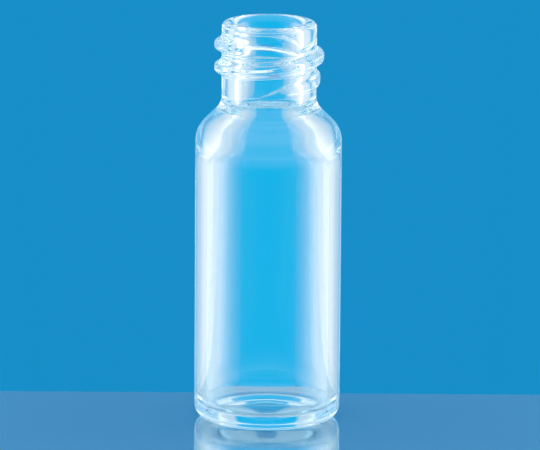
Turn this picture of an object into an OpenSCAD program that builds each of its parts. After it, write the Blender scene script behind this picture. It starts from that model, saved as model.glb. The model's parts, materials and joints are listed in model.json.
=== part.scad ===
// Clear glass sample vial with a screw neck, open and empty.
// It is one piece of glass, formed from tube: base, body, shoulder, neck,
// round helical thread and lip are all the same wall.
// Z is the axis, and the vial stands on Z = 0. Sizes are in millimetres.

/* [Body] */
// Height from the table to the top of the lip
height = 32; // [28:0.5:45]
// Outside diameter of the body
body_d = 11.6; // [11:0.1:15]
// Thickness of the body wall
wall = 1; // [0.7:0.05:1.2]

/* [Neck] */
// Outside diameter of the neck, under the thread
neck_d = 7.5; // [7.2:0.1:8.4]
// Diameter of the bore through the neck
bore_d = 5; // [4:0.1:5.2]
// Length of the neck, from the top of the lip to where the shoulder meets it
neck_len = 6.56; // [6:0.02:9]
// Radius of the hollow where the neck runs into the shoulder
neck_root_r = 0.8; // [0.3:0.1:1]
// Radius of the outer edge of the lip
lip_outer_r = 0.42; // [0.2:0.02:0.54]
// Radius of the inner edge of the lip
lip_inner_r = 0.65; // [0.2:0.05:0.8]

/* [Shoulder] */
// Slope of the shoulder outside, up from the table
shoulder_slope = 45; // [40:1:55]
// Radius where the shoulder turns into the body, outside
shoulder_r = 2.4; // [0.5:0.1:3]
// Depth of the bore's lower end below the foot of the neck
bore_drop = 1.3; // [1:0.05:1.8]
// Slope of the shoulder inside, up from the table
inner_slope = 42; // [36:1:48]
// Radius where the shoulder turns into the body, inside
shoulder_inner_r = 4; // [1:0.1:4.6]
// Radius where the bore opens into the shoulder
bore_mouth_r = 0.6; // [0.3:0.1:1.2]

/* [Thread] */
// Rise of the thread in one turn, 14 turns to the inch
thread_pitch = 1.814; // [1.6:0.001:2.1]
// Height of the ridge above the neck
thread_h = 0.58; // [0.3:0.01:0.8]
// Width of the ridge at its root
thread_w = 1.24; // [0.9:0.02:1.5]
// Length of the thread, in turns
thread_turns = 1.99; // [1.2:0.01:2.2]
// Depth of the thread's upper end below the top of the lip
thread_drop = 1.43; // [1.3:0.01:2]
// Direction in which the thread starts, counted from +X
thread_start = -99; // [-180:1:180]
// Length over which the ridge swells up from its lower end, in turns
thread_run_in = 0.66; // [0.2:0.02:0.9]
// Length over which the ridge runs out at its upper end, in turns
thread_run_out = 0.2; // [0.1:0.02:0.4]
// Length over which the ridge widens from the point at its start, in turns
thread_widening = 0.2; // [0.05:0.01:0.4]
// Length over which the point at the start rises to the helix, in turns
thread_tip = 0.1; // [0.05:0.01:0.3]
// Depth of that point below the helix
thread_tip_drop = 0.38; // [0:0.02:0.5]

/* [Base] */
// Thickness of the base at its rim
base_wall = 0.95; // [0.8:0.05:2]
// Radius of the outer edge of the base
heel_r = 0.9; // [0.4:0.05:1.2]
// Radius of the inner corner between wall and floor
floor_r = 1; // [0.3:0.05:1.4]
// Width of the flat ring on which the vial stands
stand_w = 0.6; // [0.3:0.05:1]
// Height of the hollow under the base, at the axis
punt_h = 0.35; // [0.1:0.05:0.5]

/* [Hidden] */

// Sides of a turned surface, and of the small arcs in its section
turn_fn = 144;
arc_fn = 96;
// Steps of the thread in a turn, and points across its ridge
thread_steps = 60;
ridge_points = 10;
// Depth under the neck's surface of the ridge's sides, of its crest where it has
// not yet swelled up, and of its sunk root
ridge_seat = 0.1;
crest_seat = 0.03;
ridge_root = 0.35;
// Least width of the ridge, as a share of its full width
ridge_point = 0.15;

body_r = body_d / 2;
neck_r = neck_d / 2;
bore_r = bore_d / 2;
inner_r = body_r - wall;

// Heights where the slope of the shoulder meets the neck and the body, outside
neck_root_z = height - neck_len;
shoulder_z = neck_root_z - (body_r - neck_r) * tan(shoulder_slope);

// The same two corners inside
bore_mouth_z = neck_root_z - bore_drop;
shoulder_inner_z = bore_mouth_z - (inner_r - bore_r) * tan(inner_slope);

// The hollow under the base is part of a sphere that ends at the flat ring
punt_r = body_r - heel_r - stand_w;
punt_sphere_r = (punt_r * punt_r + punt_h * punt_h) / (2 * punt_h);

// Unit vector at an angle in the section
function toward(a) = [cos(a), sin(a)];

// Curved triangle between the two sides of a corner and the arc that rounds it.
// The sides leave the corner at the angles side_a and side_b. It is cut off an
// outward corner, or added in an inward one.
module corner_patch(corner, side_a, side_b, r) {
    half = abs(side_b - side_a) / 2;
    reach = r / tan(half);
    centre = corner + r / sin(half) * toward((side_a + side_b) / 2);
    difference() {
        polygon([corner, corner + reach * toward(side_a), centre, corner + reach * toward(side_b)]);
        translate(centre) circle(r = r, $fn = arc_fn);
    }
}

// Half section of the vial as if it were solid
module outer_section() {
    difference() {
        union() {
            polygon([
                [0, 0], [body_r, 0], [body_r, shoulder_z],
                [neck_r, neck_root_z], [neck_r, height], [0, height]
            ]);
            corner_patch([neck_r, neck_root_z], -shoulder_slope, 90, neck_root_r);
        }
        corner_patch([neck_r, height], -90, -180, lip_outer_r);
        corner_patch([body_r, shoulder_z], -90, -180 - shoulder_slope, shoulder_r);
        corner_patch([body_r, 0], 90, 180, heel_r);
        punt_section();
    }
}

// Half section of the hollow under the base
module punt_section() {
    intersection() {
        translate([0, punt_h - punt_sphere_r]) circle(r = punt_sphere_r, $fn = 720);
        square([punt_r, punt_h]);
    }
}

// Half section of the space inside, up to just above the lip
module inner_section() {
    above = height + 1;
    difference() {
        union() {
            polygon([
                [0, base_wall], [inner_r, base_wall], [inner_r, shoulder_inner_z],
                [bore_r, bore_mouth_z], [bore_r, above], [0, above]
            ]);
            corner_patch([bore_r, bore_mouth_z], -inner_slope, 90, bore_mouth_r);
            corner_patch([bore_r, height], -90, 0, lip_inner_r);
        }
        corner_patch([inner_r, shoulder_inner_z], -90, -180 - inner_slope, shoulder_inner_r);
        corner_patch([inner_r, base_wall], 90, 180, floor_r);
    }
}

// Rise from 0 to 1 with a level start and end
function smooth_rise(t) =
    let (u = min(1, max(0, t)))
    u * u * (3 - 2 * u);

// How far the ridge has swelled up, at a distance in turns from its lower end
function ridge_swell(turn) =
    pow(min(1, turn / thread_run_in), 0.75) * smooth_rise((thread_turns - turn) / thread_run_out);

// How far the ridge has widened there
function ridge_spread(turn) = max(ridge_point, sqrt(min(1, turn / thread_widening)));

// Height of the ridge's middle line there
function ridge_z(turn) =
    height - thread_drop - thread_pitch * (thread_turns - turn)
    - thread_tip_drop * (1 - smooth_rise(turn / thread_tip));

// Points across the ridge: its sunk root below, a half ellipse up, its sunk root above
function ridge_outline(swell, spread) =
    let (
        half = spread * thread_w / 2,
        rise = ridge_seat - crest_seat + (thread_h + crest_seat) * swell
    )
    [
        [neck_r - ridge_root, -half],
        for (i = [0 : ridge_points])
            let (a = -90 + 180 * i / ridge_points)
            [neck_r - ridge_seat + rise * cos(a), half * sin(a)],
        [neck_r - ridge_root, half]
    ];

// Round ridge that climbs the neck as a right-hand helix
module thread_ridge() {
    steps = round(thread_turns * thread_steps);
    ring = ridge_points + 3;
    points = [
        for (s = [0 : steps])
            let (
                turn = thread_turns * s / steps,
                a = thread_start + 360 * turn,
                z = ridge_z(turn)
            )
            for (p = ridge_outline(ridge_swell(turn), ridge_spread(turn)))
                [p[0] * cos(a), p[0] * sin(a), z + p[1]]
    ];
    sides = [
        for (s = [0 : steps - 1])
            for (i = [0 : ring - 1])
                let (j = (i + 1) % ring)
                [s * ring + i, s * ring + j, (s + 1) * ring + j, (s + 1) * ring + i]
    ];
    ends = [
        [for (i = [0 : ring - 1]) (ring - i) % ring],
        [for (i = [0 : ring - 1]) steps * ring + i]
    ];
    polyhedron(points = points, faces = concat(sides, ends), convexity = 4);
}

module glass_vial() {
    color([0.78, 0.92, 0.97, 0.4]) {
        rotate_extrude($fn = turn_fn) difference() {
            outer_section();
            inner_section();
        }
        thread_ridge();
    }
}

glass_vial();
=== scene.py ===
"""Glass sample vial: one piece of clear glass, standing open and empty on a pale shelf."""

import json
import math

import bmesh
import bpy
from mathutils import Matrix, Vector


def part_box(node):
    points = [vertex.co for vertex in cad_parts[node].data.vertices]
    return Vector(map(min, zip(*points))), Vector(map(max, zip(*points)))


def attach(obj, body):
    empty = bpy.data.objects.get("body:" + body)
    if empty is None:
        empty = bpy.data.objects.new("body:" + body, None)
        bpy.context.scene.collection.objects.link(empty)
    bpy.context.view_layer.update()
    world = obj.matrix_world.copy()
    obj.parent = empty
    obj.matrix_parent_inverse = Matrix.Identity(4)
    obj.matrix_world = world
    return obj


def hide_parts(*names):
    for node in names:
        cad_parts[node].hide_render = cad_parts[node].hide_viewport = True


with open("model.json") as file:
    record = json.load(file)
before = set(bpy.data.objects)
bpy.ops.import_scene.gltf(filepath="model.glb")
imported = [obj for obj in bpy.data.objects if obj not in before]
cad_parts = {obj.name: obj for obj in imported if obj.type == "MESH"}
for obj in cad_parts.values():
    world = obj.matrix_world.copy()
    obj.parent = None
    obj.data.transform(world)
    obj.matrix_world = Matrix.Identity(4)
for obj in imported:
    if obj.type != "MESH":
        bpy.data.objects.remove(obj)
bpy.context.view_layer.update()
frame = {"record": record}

# Sizes of the vial in millimetres, about its own axis
MM = 0.001
MOUNTS = {mount["name"]: mount for mount in frame["record"]["mounts"]}
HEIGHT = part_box("glass_vial")[1].z / MM
BODY_R = MOUNTS["body_outside"]["dims"]["r_mm"]
BORE_R = MOUNTS["neck_bore"]["dims"]["r_mm"]
WALL = 1.0
NECK_R = 3.75
NECK_LENGTH = 6.56
SHOULDER_SLOPE = math.radians(45)
BORE_DROP = 1.3
INNER_SLOPE = math.radians(42)
BASE_WALL = 0.95

# Bends in the section, from the base up and back down inside. They start and end gently,
# and each cuts its corner as far as an arc of this radius does
HEEL_R = 1.1
SHOULDER_R = 2.4
NECK_ROOT_R = 1.4
BORE_MOUTH_R = 1.2
SHOULDER_INNER_R = 4.0
FLOOR_R = 1.0

# Plain arcs at the two edges of the lip
LIP_OUTER_R = 0.42
LIP_INNER_R = 0.65

# The hollow under the base: its size, the arc where its flat middle turns down, and the
# arc of the ring around it, which the vial stands on
PUNT_R = 4.3
PUNT_HEIGHT = 0.35
PUNT_BEND_AT = PUNT_R / 2
PUNT_BEND_R = 6.0
STAND_R = 0.6

# The thread: a round ridge that climbs the neck as a right-hand helix. Its half width is
# where it is half as high, more fullness makes its crest flatter and its sides steeper,
# and its drop is the depth of its upper end below the top of the lip
THREAD_PITCH = 1.814
THREAD_HEIGHT = 0.58
THREAD_HALF_WIDTH = 0.5
THREAD_FULLNESS = 4
THREAD_TURNS = 1.99
THREAD_DROP = 1.43
THREAD_START = math.radians(-99)

# The thread's ends, in turns. It starts from a point that hangs a little below its line,
# by the tip's drop in millimetres. Then it widens, swells up slowly and runs out sooner
THREAD_TIP = 0.1
THREAD_TIP_DROP = 0.38
THREAD_WIDENING = 0.2
THREAD_RUN_IN = 0.66
THREAD_RUN_OUT = 0.2

# How the thread widens and swells: 1 is an even rate, and less is faster at first
WIDENING_POWER = 0.5
SWELL_POWER = 0.75

# How finely the glass is modelled: steps in a turn, the angle between the points of a
# bend, and the length between the points of the neck and of every other straight stretch
TURN_STEPS = 192
ARC_STEP = math.radians(6)
LEAST_ARC_STEPS = 3
NECK_STEP = 0.065
WALL_STEP = 0.4

# How near two points lie that are one, and how near the neck's surface a point on it lies
SAME_POINT = 0.0005
ON_NECK = 0.001


def smooth_rise(share):
    """0 below 0, 1 above 1, with a level start and end."""
    share = min(max(share, 0.0), 1.0)
    return share * share * (3 - 2 * share)


def arc_steps(turn):
    """How many steps an arc of that turn has."""
    return max(LEAST_ARC_STEPS, math.ceil(abs(turn) / ARC_STEP))


def rounded_corner(before, corner, after, radius):
    """The arc that touches both sides of a corner."""
    side_in = (before - corner).normalized()
    side_out = (after - corner).normalized()
    half = side_in.angle(side_out) / 2
    centre = corner + (side_in + side_out).normalized() * radius / math.sin(half)
    first = corner + side_in * radius / math.tan(half) - centre
    last = corner + side_out * radius / math.tan(half) - centre
    start = math.atan2(first.y, first.x)
    turn = math.atan2(first.cross(last), first.dot(last))
    steps = arc_steps(turn)
    angles = [start + turn * step / steps for step in range(steps + 1)]
    return [centre + radius * Vector((math.cos(angle), math.sin(angle))) for angle in angles]


def eased_corner(before, corner, after, radius):
    """A bend that cuts the corner as far as an arc of that radius, but starts and ends gently."""
    side_in = (corner - before).normalized()
    side_out = (after - corner).normalized()
    turn = math.atan2(side_in.cross(side_out), side_in.dot(side_out))
    steps = 2 * arc_steps(turn)
    bend = [Vector((0, 0))]
    for step in range(steps):
        heading = side_in.copy()
        heading.rotate(Matrix.Rotation(turn * smooth_rise((step + 0.5) / steps), 2))
        bend.append(bend[-1] + heading)
    tip = side_in * bend[-1].length / (2 * math.cos(turn / 2))
    scale = radius * (1 / math.cos(turn / 2) - 1) / (bend[steps // 2] - tip).length
    return [corner + (point - tip) * scale for point in bend]


def divided(start, end, step):
    """Points between two ends of a straight stretch, without the ends."""
    count = math.ceil((end - start).length / step)
    return [start.lerp(end, part / count) for part in range(1, count)]


def vial_section():
    """Half section of the glass as points (radius, height), from the axis below to the axis above."""
    inner_r = BODY_R - WALL
    start = Vector((0, PUNT_HEIGHT))
    neck_root = Vector((NECK_R, HEIGHT - NECK_LENGTH))
    shoulder = Vector((BODY_R, neck_root.y - (BODY_R - NECK_R) * math.tan(SHOULDER_SLOPE)))
    bore_mouth = Vector((BORE_R, neck_root.y - BORE_DROP))
    shoulder_inside = Vector((inner_r, bore_mouth.y - (inner_r - BORE_R) * math.tan(INNER_SLOPE)))
    end = Vector((0, BASE_WALL))
    # Each corner, its radius, how it is turned, and the step of the straight stretch before it
    bends = [
        (Vector((PUNT_BEND_AT, PUNT_HEIGHT)), PUNT_BEND_R, rounded_corner, WALL_STEP),
        (Vector((PUNT_R, 0)), STAND_R, rounded_corner, WALL_STEP),
        (Vector((BODY_R, 0)), HEEL_R, eased_corner, WALL_STEP),
        (shoulder, SHOULDER_R, eased_corner, WALL_STEP),
        (neck_root, NECK_ROOT_R, eased_corner, WALL_STEP),
        (Vector((NECK_R, HEIGHT)), LIP_OUTER_R, rounded_corner, NECK_STEP),
        (Vector((BORE_R, HEIGHT)), LIP_INNER_R, rounded_corner, WALL_STEP),
        (bore_mouth, BORE_MOUTH_R, eased_corner, WALL_STEP),
        (shoulder_inside, SHOULDER_INNER_R, eased_corner, WALL_STEP),
        (Vector((inner_r, BASE_WALL)), FLOOR_R, eased_corner, WALL_STEP),
    ]
    corners = [start] + [bend[0] for bend in bends] + [end]
    path = [start]
    for before, (corner, radius, turned_by, step), after in zip(corners, bends, corners[2:]):
        bend = turned_by(before, corner, after, radius)
        path += divided(path[-1], bend[0], step) + bend
    return path + divided(path[-1], end, WALL_STEP) + [end]


def ridge_height(angle, z):
    """How far the thread stands out of the neck, at a direction and a height."""
    height = 0.0
    first_turn = ((angle - THREAD_START) % math.tau) / math.tau
    for lap in range(math.ceil(THREAD_TURNS)):
        turn = first_turn + lap
        if turn <= 0 or turn >= THREAD_TURNS:
            continue
        swell = min(1.0, turn / THREAD_RUN_IN) ** SWELL_POWER
        swell *= smooth_rise((THREAD_TURNS - turn) / THREAD_RUN_OUT)
        half_width = THREAD_HALF_WIDTH * min(1.0, turn / THREAD_WIDENING) ** WIDENING_POWER
        crest = HEIGHT - THREAD_DROP - THREAD_PITCH * (THREAD_TURNS - turn)
        crest -= THREAD_TIP_DROP * (1 - smooth_rise(turn / THREAD_TIP))
        across = abs(z - crest) / half_width
        height = max(height, THREAD_HEIGHT * swell * 0.5 ** (across ** THREAD_FULLNESS))
    return height


def raise_thread(bm):
    """Moves the outside of the neck out into the thread's ridge."""
    for vert in bm.verts:
        radius = vert.co.xy.length
        if abs(radius - NECK_R) > ON_NECK:
            continue
        rise = ridge_height(math.atan2(vert.co.y, vert.co.x), vert.co.z)
        vert.co.xy *= (NECK_R + rise) / NECK_R


def add_object(name, data):
    """A new object in the scene."""
    added = bpy.data.objects.new(name, data)
    bpy.context.scene.collection.objects.link(added)
    return added


def make_vial():
    """The whole vial as one closed skin of glass."""
    bm = bmesh.new()
    section = [bm.verts.new((point.x, 0, point.y)) for point in vial_section()]
    edges = [bm.edges.new(pair) for pair in zip(section, section[1:])]
    bmesh.ops.spin(
        bm, geom=section + edges, cent=(0, 0, 0), axis=(0, 0, 1), dvec=(0, 0, 0),
        angle=math.tau, steps=TURN_STEPS, use_merge=True, use_normal_flip=False, use_duplicate=False,
    )
    bmesh.ops.remove_doubles(bm, verts=bm.verts, dist=SAME_POINT)
    raise_thread(bm)
    bmesh.ops.recalc_face_normals(bm, faces=bm.faces)
    bmesh.ops.scale(bm, vec=(MM, MM, MM), verts=bm.verts)
    for face in bm.faces:
        face.smooth = True
    mesh = bpy.data.meshes.new("vial_glass")
    bm.to_mesh(mesh)
    bm.free()
    return add_object("vial_glass", mesh)


def new_material(name):
    """A material, with its node tree and its shader."""
    material = bpy.data.materials.new(name)
    material.use_nodes = True
    return material, material.node_tree, material.node_tree.nodes["Principled BSDF"]


def feed(tree, value, socket):
    """Sets a socket to a plain value, or links it to another node's output."""
    if isinstance(value, bpy.types.NodeSocket):
        tree.links.new(value, socket)
    else:
        socket.default_value = value


def split_node(tree, vector):
    """The X, Y and Z of a vector."""
    node = tree.nodes.new("ShaderNodeSeparateXYZ")
    tree.links.new(vector, node.inputs["Vector"])
    return node.outputs


def math_node(tree, operation, *values):
    """The result of a sum."""
    node = tree.nodes.new("ShaderNodeMath")
    node.operation = operation
    for value, socket in zip(values, node.inputs):
        feed(tree, value, socket)
    return node.outputs["Value"]


def mix_node(tree, share, first, second, kind="FLOAT"):
    """The first value where the share is 0, and the second where it is 1."""
    node = tree.nodes.new("ShaderNodeMix")
    node.data_type = kind
    for value, name in ((share, "Factor"), (first, "A"), (second, "B")):
        feed(tree, value, node.inputs[name])
    return node.outputs["Result"]


def range_node(tree, value, low, high, to_low=0.0, to_high=1.0):
    """A value from one range, carried smoothly over to another."""
    node = tree.nodes.new("ShaderNodeMapRange")
    node.interpolation_type = "SMOOTHSTEP"
    tree.links.new(value, node.inputs["Value"])
    for name, number in (("From Min", low), ("From Max", high), ("To Min", to_low), ("To Max", to_high)):
        node.inputs[name].default_value = number
    return node.outputs["Result"]


def noise_node(tree, place, squeeze, scale, detail):
    """Noise in the object's own space, squeezed along X, Y and Z. Less than 1 draws it out."""
    mapping = tree.nodes.new("ShaderNodeMapping")
    mapping.inputs["Scale"].default_value = squeeze
    tree.links.new(place, mapping.inputs["Vector"])
    noise = tree.nodes.new("ShaderNodeTexNoise")
    noise.inputs["Scale"].default_value = scale
    noise.inputs["Detail"].default_value = detail
    tree.links.new(mapping.outputs["Vector"], noise.inputs["Vector"])
    return noise.outputs["Fac"]


# The glass itself. Its surface is a little cooler where the pattern of ripples is low
GLASS_IOR = 1.47
COOL_GLASS = (0.96, 0.99, 1, 1)
WHITE_GLASS = (1, 1, 1, 1)
TINT = (0.9, 0.97, 1.0, 1)
TINT_DENSITY = 40.0

# Patterns on the glass: how each is squeezed along X, Y and Z, how fine it is, its detail
STREAKS = ((1, 1, 0.05), 900, 1.0)
RIPPLES = ((1, 1, 1.6), 420, 2.0)
SCUFFS = ((1, 1, 4), 2500, 6.0)

# Depth of the streaks and ripples, and the heights between which streaks give way to
# ripples, because the flame worked the glass above
RELIEF = 0.003
WORKED_FROM = 20.0
WORKED_FULL = 24.0

# Parts of the pattern of scuffs that show, and the roughness that they bring: a faint haze
# all over, and wear on the ring that the vial stands on, which fades between two heights
HAZE_RANGE = (0.5, 0.75)
HAZE = (0.0, 0.02)
WEAR_RANGE = (0.35, 0.65)
WEAR = (0.05, 0.2)
WORN_UP_TO = 0.02
UNWORN_FROM = 0.1


def glass_relief(tree, place, height, ripples):
    """Faint streaks along the drawn body, and ripples where the neck was worked in the flame."""
    streaks = noise_node(tree, place, *STREAKS)
    worked = range_node(tree, height, WORKED_FROM * MM, WORKED_FULL * MM)
    bump = tree.nodes.new("ShaderNodeBump")
    bump.inputs["Strength"].default_value = 1.0
    bump.inputs["Distance"].default_value = RELIEF * MM
    tree.links.new(mix_node(tree, worked, streaks, ripples), bump.inputs["Height"])
    return bump.outputs["Normal"]


def glass_wear(tree, place, height):
    """Roughness: a haze of fine scuffs from handling, and wear where the vial stands."""
    scuffs = noise_node(tree, place, *SCUFFS)
    haze = range_node(tree, scuffs, *HAZE_RANGE, *HAZE)
    wear = range_node(tree, scuffs, *WEAR_RANGE, *WEAR)
    standing = range_node(tree, height, WORN_UP_TO * MM, UNWORN_FROM * MM, 1.0, 0.0)
    return mix_node(tree, standing, haze, wear)


def glass_material():
    """Clear glass drawn from tube, with a faint relief, a little wear and a cool tint."""
    material, tree, shader = new_material("clear_glass")
    place = tree.nodes.new("ShaderNodeTexCoord").outputs["Object"]
    height = split_node(tree, place)["Z"]
    ripples = noise_node(tree, place, *RIPPLES)
    shader.inputs["Transmission Weight"].default_value = 1.0
    shader.inputs["IOR"].default_value = GLASS_IOR
    feed(tree, mix_node(tree, ripples, COOL_GLASS, WHITE_GLASS, "RGBA"), shader.inputs["Base Color"])
    feed(tree, glass_relief(tree, place, height, ripples), shader.inputs["Normal"])
    feed(tree, glass_wear(tree, place, height), shader.inputs["Roughness"])

    absorption = tree.nodes.new("ShaderNodeVolumeAbsorption")
    absorption.inputs["Color"].default_value = TINT
    absorption.inputs["Density"].default_value = TINT_DENSITY
    feed(tree, absorption.outputs["Volume"], tree.nodes["Material Output"].inputs["Volume"])
    return material


# Camera: a long lens at the photo's view. Its place and aim are in millimetres, its focal
# length in pixels of a frame this wide, its slight roll in radians, and its near and far
# limits in metres
FRAME_WIDTH = 540
EYE = (0, -445.2, 112.75)
LOOK_AT = (0.155, 0, 15.59)
FOCAL_PIXELS = 5745
SENSOR_WIDTH = 36
ROLL = 0.007
NEAR_LIMIT = 0.01
FAR_LIMIT = 20


def make_camera():
    """The camera at the photo's height, distance and slight roll."""
    data = bpy.data.cameras.new("camera")
    data.sensor_width = SENSOR_WIDTH
    data.lens = FOCAL_PIXELS / FRAME_WIDTH * SENSOR_WIDTH
    data.clip_start = NEAR_LIMIT
    data.clip_end = FAR_LIMIT
    camera = add_object("camera", data)
    eye = Vector(EYE) * MM
    aim = (Vector(LOOK_AT) * MM - eye).to_track_quat("-Z", "Y").to_matrix().to_4x4()
    camera.matrix_world = Matrix.Translation(eye) @ aim @ Matrix.Rotation(ROLL, 4, "Z")
    bpy.context.scene.camera = camera


# Shelf, in metres. Its back edge lies just behind the vial
FLOOR_COLOUR = (0.42, 0.64, 0.76, 1)
FLOOR_MIRROR = 0.8
FLOOR_ROUGHNESS = 0.06
FLOOR_BACK = 0.0075
FLOOR_FRONT = -1.2
FLOOR_HALF_WIDTH = 1.5

# Cyan card close behind the vial, in metres. Only light that has come through the glass
# meets it, so it brightens the middle of the vial and is never seen beside it. Its glow
# is full as far out as CARD_FULL, and fades from there to its edge
CARD_GLOW = (0.0, 0.46, 0.84, 1)
CARD_BEHIND = 0.02
CARD_FULL = 0.0031
CARD_HALF_WIDTH = 0.0038
CARD_LOW = -0.008
CARD_HIGH = 0.03
BLACK = (0, 0, 0, 1)

# Surround: its radiance at an angle, in degrees, from straight behind the vial
BACKDROP = (0.0095, 0.271, 0.578)
CYAN_GLOW = (0.0, 0.46, 0.84)
NEAR_GLOW = (0.44, 0.65, 0.83)
GLOW = (0.66, 0.81, 0.92)
SOFT_BOX = (2.1, 2.1, 2.1)
ROOM = (0.04, 0.5, 0.78)
SURROUND = (
    (0, BACKDROP), (2.8, BACKDROP), (3.4, CYAN_GLOW), (14, NEAR_GLOW), (34, GLOW), (50, GLOW),
    (64, SOFT_BOX), (94, SOFT_BOX), (112, GLOW), (140, ROOM),
)

# Overhead light, and the steepness of the direction from which it takes over
OVERHEAD = (1.05, 1.15, 1.22)
OVERHEAD_FROM = 0.25
OVERHEAD_FULL = 0.65

# Bounces of the light: long paths inside the glass, short ones between dull surfaces
GLASS_BOUNCES = 128
DULL_BOUNCES = 4


def make_sheet(name, corners, material):
    """A flat sheet for the stage."""
    bm = bmesh.new()
    bm.faces.new([bm.verts.new(corner) for corner in corners])
    mesh = bpy.data.meshes.new(name)
    bm.to_mesh(mesh)
    bm.free()
    mesh.materials.append(material)
    return add_object(name, mesh)


def floor_material():
    """A pale polished shelf that mirrors most of its light."""
    material, _, shader = new_material("polished_floor")
    shader.inputs["Base Color"].default_value = FLOOR_COLOUR
    shader.inputs["Metallic"].default_value = FLOOR_MIRROR
    shader.inputs["Roughness"].default_value = FLOOR_ROUGHNESS
    return material


def make_floor():
    """The shelf that the vial stands on."""
    left, right = -FLOOR_HALF_WIDTH, FLOOR_HALF_WIDTH
    front, back = FLOOR_FRONT, FLOOR_BACK
    corners = [(left, front, 0), (right, front, 0), (right, back, 0), (left, back, 0)]
    floor = make_sheet("floor", corners, floor_material())


def card_material():
    """An even cyan glow that fades out towards the sides of the card."""
    material, tree, shader = new_material("cyan_card")
    place = tree.nodes.new("ShaderNodeTexCoord").outputs["Object"]
    off_middle = math_node(tree, "ABSOLUTE", split_node(tree, place)["X"])
    shader.inputs["Base Color"].default_value = BLACK
    shader.inputs["Specular IOR Level"].default_value = 0.0
    shader.inputs["Emission Color"].default_value = CARD_GLOW
    shader.inputs["Emission Strength"].default_value = 1.0
    fade = range_node(tree, off_middle, CARD_FULL, CARD_HALF_WIDTH, 1.0, 0.0)
    feed(tree, fade, shader.inputs["Alpha"])
    return material


def make_card():
    """The card, upright behind the vial and out of sight of the camera."""
    left, right = -CARD_HALF_WIDTH, CARD_HALF_WIDTH
    corners = [(left, CARD_LOW), (right, CARD_LOW), (right, CARD_HIGH), (left, CARD_HIGH)]
    card = make_sheet("cyan_card", [(x, CARD_BEHIND, z) for x, z in corners], card_material())
    card.visible_camera = False
    card.visible_diffuse = False
    card.visible_glossy = False
    card.visible_volume_scatter = False
    card.visible_shadow = False


def dimmed(colour, brightest):
    """A colour as a share of the brightest one, opaque."""
    return [channel / brightest for channel in colour] + [1]


def surround_ramp(tree, brightest):
    """The surround's colours, from straight behind the vial at 0 to straight in front at 1."""
    node = tree.nodes.new("ShaderNodeValToRGB")
    stops = node.color_ramp.elements
    stops.remove(stops[1])
    for angle, colour in SURROUND:
        stop = stops.new(math.radians(angle) / math.pi) if angle else stops[0]
        stop.color = dimmed(colour, brightest)
    return node


def make_surround():
    """The studio around the vial: backdrop behind it, soft white at its sides, a pale room in front."""
    world = bpy.data.worlds.new("surround")
    world.use_nodes = True
    tree = world.node_tree
    brightest = max(SOFT_BOX)
    direction = split_node(tree, tree.nodes.new("ShaderNodeTexCoord").outputs["Generated"])
    sideways = math_node(tree, "ABSOLUTE", direction["X"])
    angle = math_node(tree, "ARCTAN2", sideways, direction["Y"])
    around = surround_ramp(tree, brightest)
    feed(tree, math_node(tree, "DIVIDE", angle, math.pi), around.inputs["Fac"])
    upwards = range_node(tree, direction["Z"], OVERHEAD_FROM, OVERHEAD_FULL)
    overhead = dimmed(OVERHEAD, brightest)
    light = mix_node(tree, upwards, around.outputs["Color"], overhead, "RGBA")
    feed(tree, light, tree.nodes["Background"].inputs["Color"])
    tree.nodes["Background"].inputs["Strength"].default_value = brightest
    bpy.context.scene.world = world


def set_look():
    """Plain colours, and light paths long enough to find their way through the glass."""
    scene = bpy.context.scene
    scene.view_settings.view_transform = "Standard"
    scene.cycles.max_bounces = GLASS_BOUNCES
    scene.cycles.glossy_bounces = GLASS_BOUNCES
    scene.cycles.transmission_bounces = GLASS_BOUNCES
    scene.cycles.diffuse_bounces = DULL_BOUNCES


make_camera()
make_floor()
make_card()
make_surround()
set_look()

vial = make_vial()
vial.data.materials.append(glass_material())
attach(vial, "root")
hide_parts("glass_vial")
